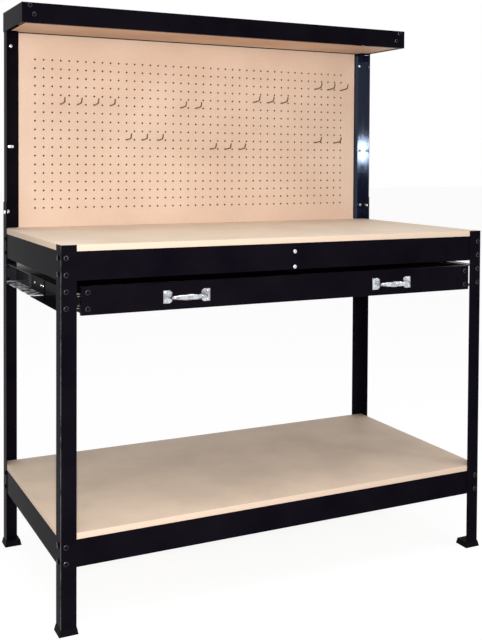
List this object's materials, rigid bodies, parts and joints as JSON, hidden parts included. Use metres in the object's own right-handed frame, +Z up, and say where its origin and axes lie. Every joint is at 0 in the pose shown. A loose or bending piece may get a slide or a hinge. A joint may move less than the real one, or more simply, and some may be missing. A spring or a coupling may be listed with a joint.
{
  "type": "workbench with pegboard",
  "caption": "Steel-framed workbench with a wide shallow drawer on ball-bearing slides, a low shelf, and a perforated tool board with hooks below a top shelf.",
  "frame": {"origin": "middle of the object's own box, on the floor under it", "axes": "+X to the right across the bench, +Y to the back (the drawer opens towards -Y), +Z up"},
  "size_m": [1.2196, 0.6448, 1.505],
  "materials": {
    "black_steel": "gloss",
    "black_bolts": "gloss",
    "black_plastic": "matte",
    "cream_board": "satin",
    "shelf_board": "matte",
    "brown_board": "matte",
    "tan_hardboard": "satin",
    "zinc_steel": "satin",
    "chrome_handle": "polished",
    "chrome_wire": "polished",
    "bright_screws": "polished"
  },
  "bodies": {
    "bench": {"bright_bolts": "bright_screws", "frame_bolts": "black_bolts", "front_left_foot": "black_plastic", "front_left_leg": "black_steel", "front_right_foot": "black_plastic", "front_right_leg": "black_steel", "hooks_lower_left": "chrome_wire", "hooks_lower_middle": "chrome_wire", "hooks_lower_right": "chrome_wire", "hooks_top_right": "chrome_wire", "hooks_upper_left": "chrome_wire", "hooks_upper_middle": "chrome_wire", "hooks_upper_right": "chrome_wire", "left_front_carrier": "black_steel", "left_rear_carrier": "zinc_steel", "left_slide_outer": "zinc_steel", "left_strip": "black_steel", "left_upright": "black_steel", "pegboard": "tan_hardboard", "rear_left_foot": "black_plastic", "rear_left_leg": "black_steel", "rear_right_foot": "black_plastic", "rear_right_leg": "black_steel", "right_front_carrier": "black_steel", "right_rear_carrier": "zinc_steel", "right_slide_outer": "zinc_steel", "right_strip": "black_steel", "right_upright": "black_steel", "shelf_board": "shelf_board", "shelf_brace": "black_steel", "shelf_front_rail": "black_steel", "shelf_left_rail": "black_steel", "shelf_rear_rail": "black_steel", "shelf_right_rail": "black_steel", "top_board": "brown_board", "top_front_rim": "black_steel", "top_left_rim": "black_steel", "top_rear_rim": "black_steel", "top_right_rim": "black_steel", "worktop_board": "cream_board", "worktop_brace": "black_steel", "worktop_front_rail": "black_steel", "worktop_left_rail": "black_steel", "worktop_rear_rail": "black_steel", "worktop_right_rail": "black_steel"},
    "drawer": {"drawer_front": "black_steel", "drawer_left_side": "black_steel", "drawer_right_side": "black_steel", "drawer_back": "black_steel", "drawer_bottom": "black_steel", "left_handle": "chrome_handle", "right_handle": "chrome_handle", "left_slide_inner": "zinc_steel", "right_slide_inner": "zinc_steel", "drawer_bolts": "black_bolts", "handle_screws": "bright_screws"},
    "left_retainer": {"left_ball_retainer": "zinc_steel"},
    "right_retainer": {"right_ball_retainer": "zinc_steel"}
  },
  "joints": [
    {"name": "drawer_slide", "type": "slide", "parent": "bench", "child": "drawer", "axis": [0, -1, 0], "range_m": [0, 0.37]},
    {"name": "left_retainer_slide", "type": "slide", "parent": "bench", "child": "left_retainer", "axis": [0, -1, 0], "range_m": [0, 0.185]},
    {"name": "right_retainer_slide", "type": "slide", "parent": "bench", "child": "right_retainer", "axis": [0, -1, 0], "range_m": [0, 0.185]}
  ],
  "couplings": [
    {"joint": "left_retainer_slide", "follows": "drawer_slide", "ratio": 0.5},
    {"joint": "right_retainer_slide", "follows": "drawer_slide", "ratio": 0.5}
  ]
}
